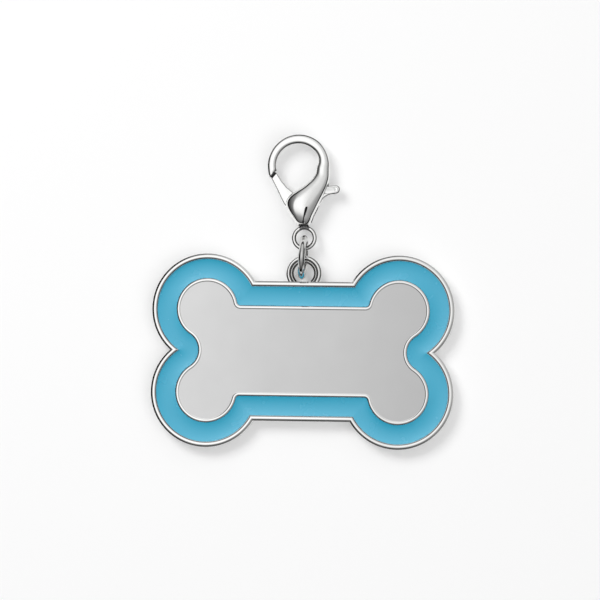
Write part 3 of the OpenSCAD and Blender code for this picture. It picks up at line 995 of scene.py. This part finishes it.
# Painted shade in near black on the gate's end next to the hook
coat(lever, painted_shade_black, in_joint)
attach(fit(lever_pin(), "lever_pin", "pin_metal", steel), "clasp")
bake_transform(fit(lever_spring(), "lever_spring", "spring_metal", steel))


# Floor

FLOOR_REACH = 10000
FLOOR_DROP = 0.02
FLOOR_COLOUR = (0.7, 0.7, 0.7, 1)
FLOOR_GLOW = 0.25


def paper():
    """Pale paper. Its glow lifts it to white, for the camera and in reflections only."""
    material, tree, shader = new_material("floor_paper")
    shader.inputs["Base Color"].default_value = FLOOR_COLOUR
    shader.inputs["Roughness"].default_value = 0.9
    shader.inputs["Specular IOR Level"].default_value = 0.1
    path = tree.nodes.new("ShaderNodeLightPath")
    seen = path.outputs["Is Camera Ray"]
    for kind in ("Is Glossy Ray", "Is Transmission Ray"):
        either = tree.nodes.new("ShaderNodeMath")
        either.operation = "MAXIMUM"
        tree.links.new(seen, either.inputs[0])
        tree.links.new(path.outputs[kind], either.inputs[1])
        seen = either.outputs["Value"]
    strength = tree.nodes.new("ShaderNodeMath")
    strength.operation = "MULTIPLY"
    tree.links.new(seen, strength.inputs[0])
    strength.inputs[1].default_value = FLOOR_GLOW
    tree.links.new(strength.outputs["Value"], shader.inputs["Emission Strength"])
    return material


corners = [(-1, -1), (1, -1), (1, 1), (-1, 1)]
floor_points = [(FLOOR_REACH * x, FLOOR_REACH * y, -FLOOR_DROP) for x, y in corners]
floor = new_piece("floor", floor_points, [(0, 1, 2, 3)])
floor.data.materials.append(paper())


# Light

# Brightness of the tent by direction: from the front (-Y) to the back, from left to right, and by
# height
FRONT_TO_BACK = [(-0.98, 0.04), (-0.85, 0.18), (-0.6, 0.42), (-0.3, 0.68), (0.05, 1.0), (0.9, 1.0)]
LEFT_TO_RIGHT = [
    (-0.98, 0.06), (-0.85, 0.1), (-0.6, 0.24), (-0.3, 0.66), (0.0, 0.78), (0.4, 0.68), (0.95, 0.4),
]
LOW_TO_HIGH = [(0.02, 0.02), (0.25, 0.04), (0.42, 1.0)]
# The pale backdrop behind the floor's far edge, by height
BACKDROP = [(0.075, 0.65), (0.1, 0)]
# Glow of the panel across each of its sides, from one edge to the other
PANEL_GLOW = [(0, 0), (0.35, 1.0), (0.65, 1.0), (1, 0)]


def combination(tree, operation, first, second):
    """The product of two colours, or the larger value in each of their channels."""
    node = tree.nodes.new("ShaderNodeVectorMath")
    node.operation = operation
    tree.links.new(first, node.inputs[0])
    tree.links.new(second, node.inputs[1])
    return node.outputs["Vector"]


def world_light():
    """A tent that is bright at the back, dark at the front and dark just above the backdrop."""
    world = bpy.data.worlds.new("studio")
    bpy.context.scene.world = world
    world.use_nodes = True
    tree = world.node_tree
    back = tree.nodes["Background"]
    place = tree.nodes.new("ShaderNodeTexCoord")
    split = tree.nodes.new("ShaderNodeSeparateXYZ")
    tree.links.new(place.outputs["Generated"], split.inputs[0])
    depth = ramp_of(tree, split.outputs["Y"], FRONT_TO_BACK)
    side = ramp_of(tree, split.outputs["X"], LEFT_TO_RIGHT)
    height = ramp_of(tree, split.outputs["Z"], LOW_TO_HIGH)
    tent = combination(tree, "MULTIPLY", combination(tree, "MULTIPLY", depth, side), height)
    backdrop = ramp_of(tree, split.outputs["Z"], BACKDROP)
    tree.links.new(combination(tree, "MAXIMUM", tent, backdrop), back.inputs["Color"])


def soft_edged(lamp):
    """Fades a lamp's glow towards its edges."""
    lamp.use_nodes = True
    tree = lamp.node_tree
    place = tree.nodes.new("ShaderNodeNewGeometry")
    split = tree.nodes.new("ShaderNodeSeparateXYZ")
    tree.links.new(place.outputs["Parametric"], split.inputs[0])
    glow = [ramp_of(tree, split.outputs[axis], PANEL_GLOW, 0) for axis in ("X", "Y")]
    tree.links.new(combination(tree, "MULTIPLY", *glow), tree.nodes["Emission"].inputs["Color"])


def area_light(name, place, target, size, power, mirrored=False):
    """A lamp that faces its target. A mirrored one shows in reflections, with soft edges."""
    lamp = bpy.data.lights.new(name, "AREA")
    lamp.shape = "RECTANGLE"
    lamp.size, lamp.size_y = size
    lamp.energy = power
    holder = bpy.data.objects.new(name, lamp)
    bpy.context.scene.collection.objects.link(holder)
    holder.location = place
    holder.rotation_euler = (Vector(target) - Vector(place)).to_track_quat("-Z", "Y").to_euler()
    holder.visible_glossy = mirrored
    if mirrored:
        soft_edged(lamp)


world_light()
area_light("key_light", (-0.21, 0.25, 0.42), target=(0, 0, 0), size=(0.24, 0.24), power=1.4)
area_light("fill_light", (0.25, -0.22, 0.5), target=(0, 0, 0), size=(0.5, 0.5), power=1.15)
area_light(
    "panel_light", (-0.055, 0.04, 0.22), target=(-0.055, 0.04, 0), size=(0.17, 0.26),
    power=0.053, mirrored=True)


# Camera

IMAGE_PX = 600
PX_PER_MM = 6.6
TAG_CENTRE_PX = (302.1, 351.3)
CAMERA_DISTANCE = 600
SENSOR_W = 36
CLIP_START_M = 0.01
TILT_RIGHT = 5
TILT_FRONT = 3
ROLL = 0.7


def photo_camera():
    """A camera that sees the tag as the photo does."""
    camera = bpy.data.cameras.new("camera")
    camera.sensor_width = SENSOR_W
    camera.lens = SENSOR_W * CAMERA_DISTANCE / (IMAGE_PX / PX_PER_MM)
    camera.clip_start = CLIP_START_M
    holder = bpy.data.objects.new("camera", camera)
    bpy.context.scene.collection.objects.link(holder)
    right, front = math.tan(math.radians(TILT_RIGHT)), math.tan(math.radians(TILT_FRONT))
    back = Vector((right, -front, 1)).normalized()
    across = Vector((*compass(ROLL), 0))
    across = (across - across.dot(back) * back).normalized()
    up = back.cross(across)
    shift = Vector((IMAGE_PX / 2 - TAG_CENTRE_PX[0], TAG_CENTRE_PX[1] - IMAGE_PX / 2)) / PX_PER_MM
    target = Vector((0, 0, TAG_T)) + shift.x * across + shift.y * up
    matrix = Matrix((across, up, back)).transposed().to_4x4()
    matrix.translation = (target + CAMERA_DISTANCE * back) * MM
    holder.matrix_world = matrix
    bpy.context.scene.camera = holder


photo_camera()
bpy.context.scene.view_settings.view_transform = "Standard"

bpy.context.view_layer.update()
